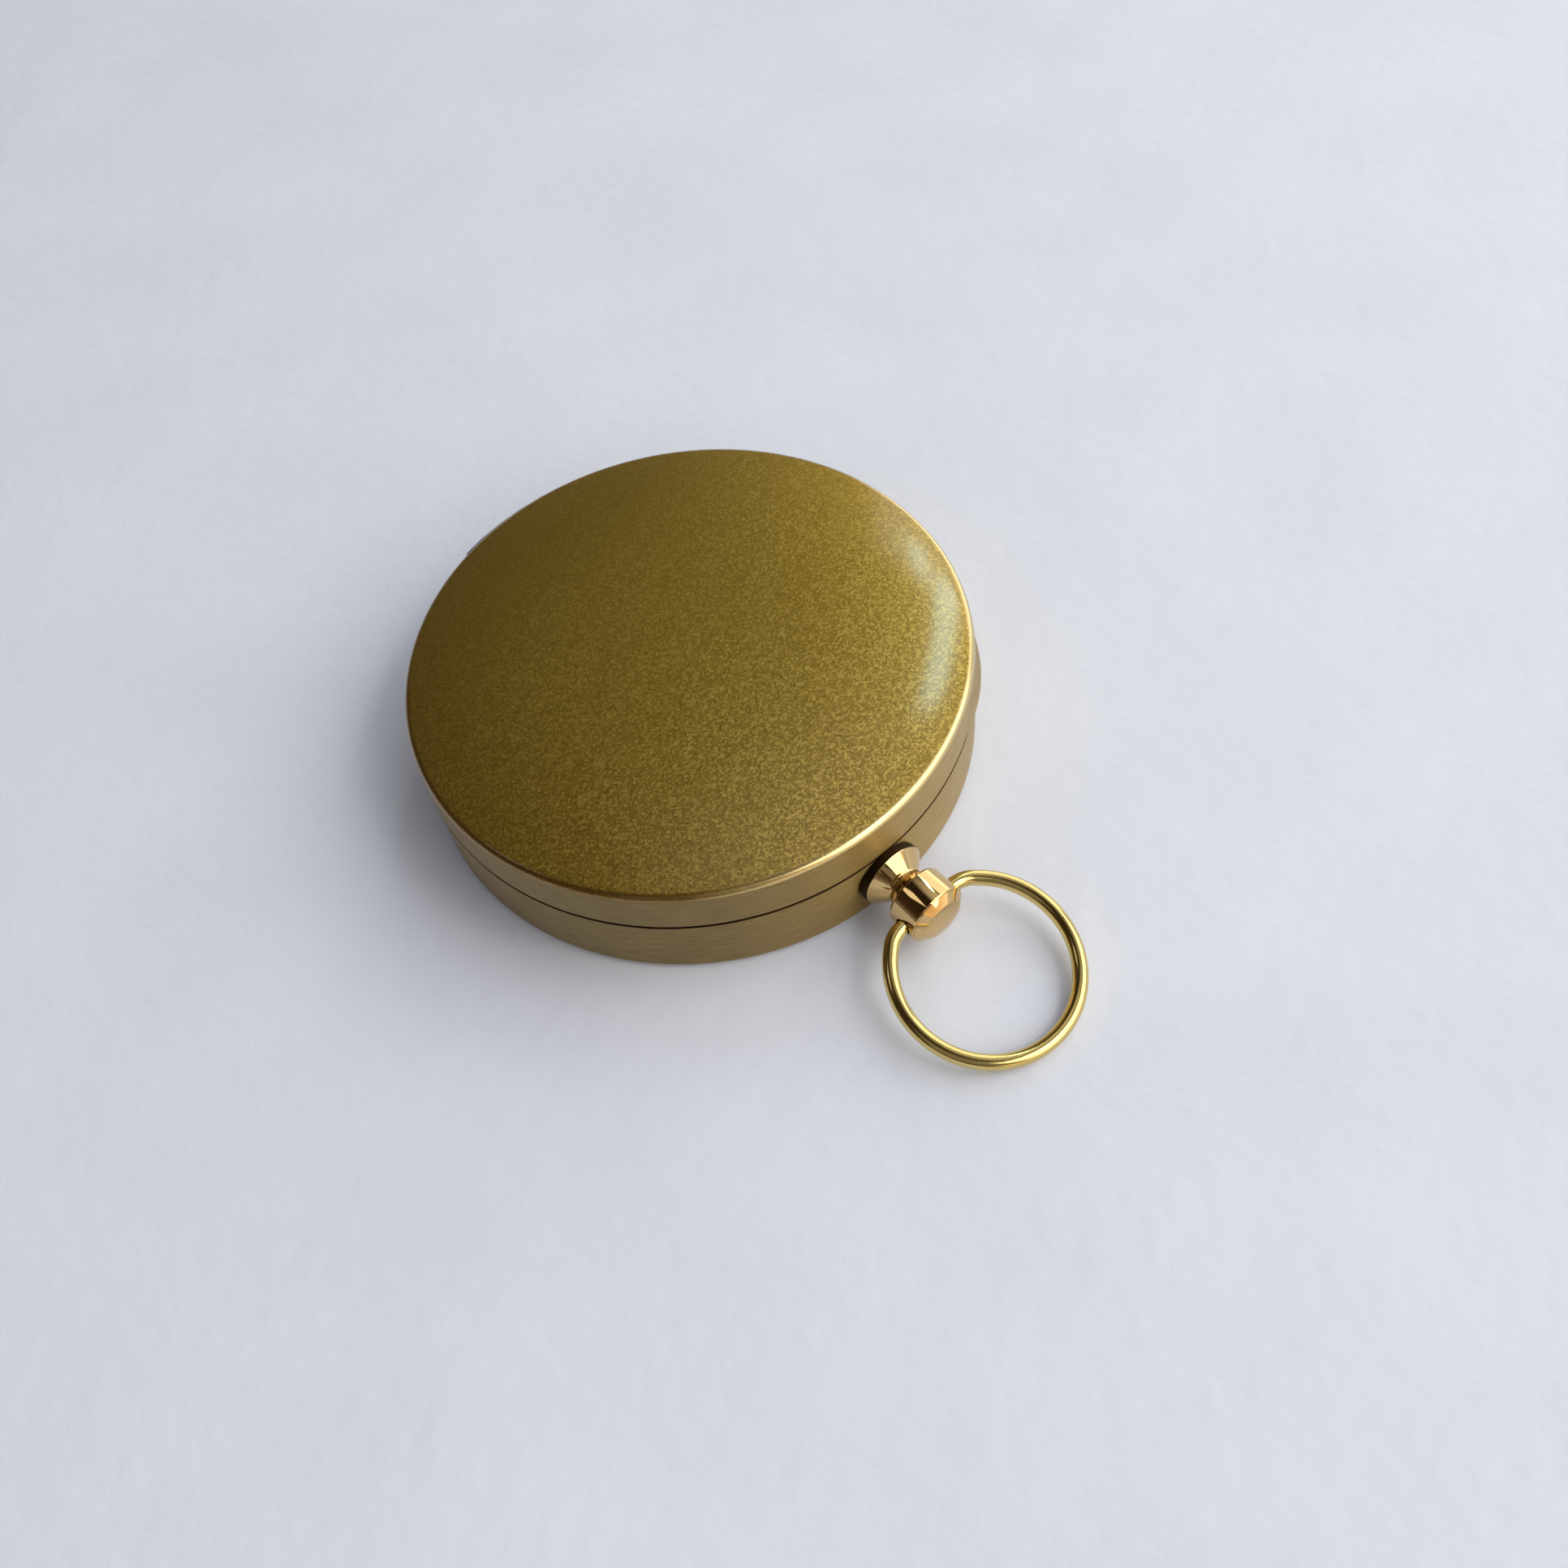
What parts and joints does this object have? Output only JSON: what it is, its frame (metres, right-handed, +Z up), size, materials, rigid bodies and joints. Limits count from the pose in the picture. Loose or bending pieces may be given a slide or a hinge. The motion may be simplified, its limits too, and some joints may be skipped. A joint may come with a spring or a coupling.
{
  "type": "pocket compass",
  "caption": "Round brass flip-up pocket compass: hinged snap lid with a thumbnail lip, turned pendant with a wire ring, and a magnetic needle on a steel point over a dial under glass.",
  "frame": {"origin": "centre of the case's flat underside", "axes": "+Z up out of the lid, -Y towards the pendant and ring, +Y towards the hinge, +X to the right seen from the pendant"},
  "size_m": [0.045, 0.0645, 0.0109],
  "materials": {
    "satin_brass": "fine satin grain, gold lacquer",
    "brushed_brass": "turned and finely brushed",
    "polished_brass": "polished",
    "ring_brass": "polished wire",
    "steel": "bright",
    "blued_steel": "heat blued",
    "lume": "matt paint",
    "dial_white": "matt print",
    "scale_ring": "matt print",
    "gasket": "matt",
    "crystal": "clear, polished",
    "jewel": "polished"
  },
  "bodies": {
    "base": {"base_cup": "brushed_brass", "bezel_ring": "polished_brass", "crystal": "crystal", "crystal_gasket": "gasket", "dial_ring": "scale_ring", "dial_plate": "dial_white", "pivot_post": "polished_brass", "pivot_pin": "steel", "pendant_stud": "polished_brass", "pendant_cap": "polished_brass", "pendant_washer": "steel", "pendant_nut": "brushed_brass", "hinge_leaf_base": "brushed_brass", "hinge_pin": "steel"},
    "lid": {"lid_shell": "satin_brass", "hinge_leaf_lid": "brushed_brass"},
    "ring": {"bow_ring": "ring_brass"},
    "needle": {"needle_blade": "blued_steel", "needle_tip": "lume", "needle_weight": "brushed_brass", "needle_cap": "polished_brass", "needle_jewel": "jewel"}
  },
  "joints": [
    {"name": "lid_hinge", "type": "hinge", "parent": "base", "child": "lid", "pos_m": [0, 0.02345, 0.00625], "axis": [-1, 0, 0], "range_deg": [0, 110]},
    {"name": "ring_swing", "type": "hinge", "parent": "base", "child": "ring", "pos_m": [0, -0.0269, 0.0038], "axis": [-1, 0, 0], "range_deg": [-115, 130]},
    {"name": "needle_spin", "type": "hinge", "parent": "base", "child": "needle", "pos_m": [0, 0, 0.0035], "axis": [0, 0, 1], "continuous": true}
  ]
}
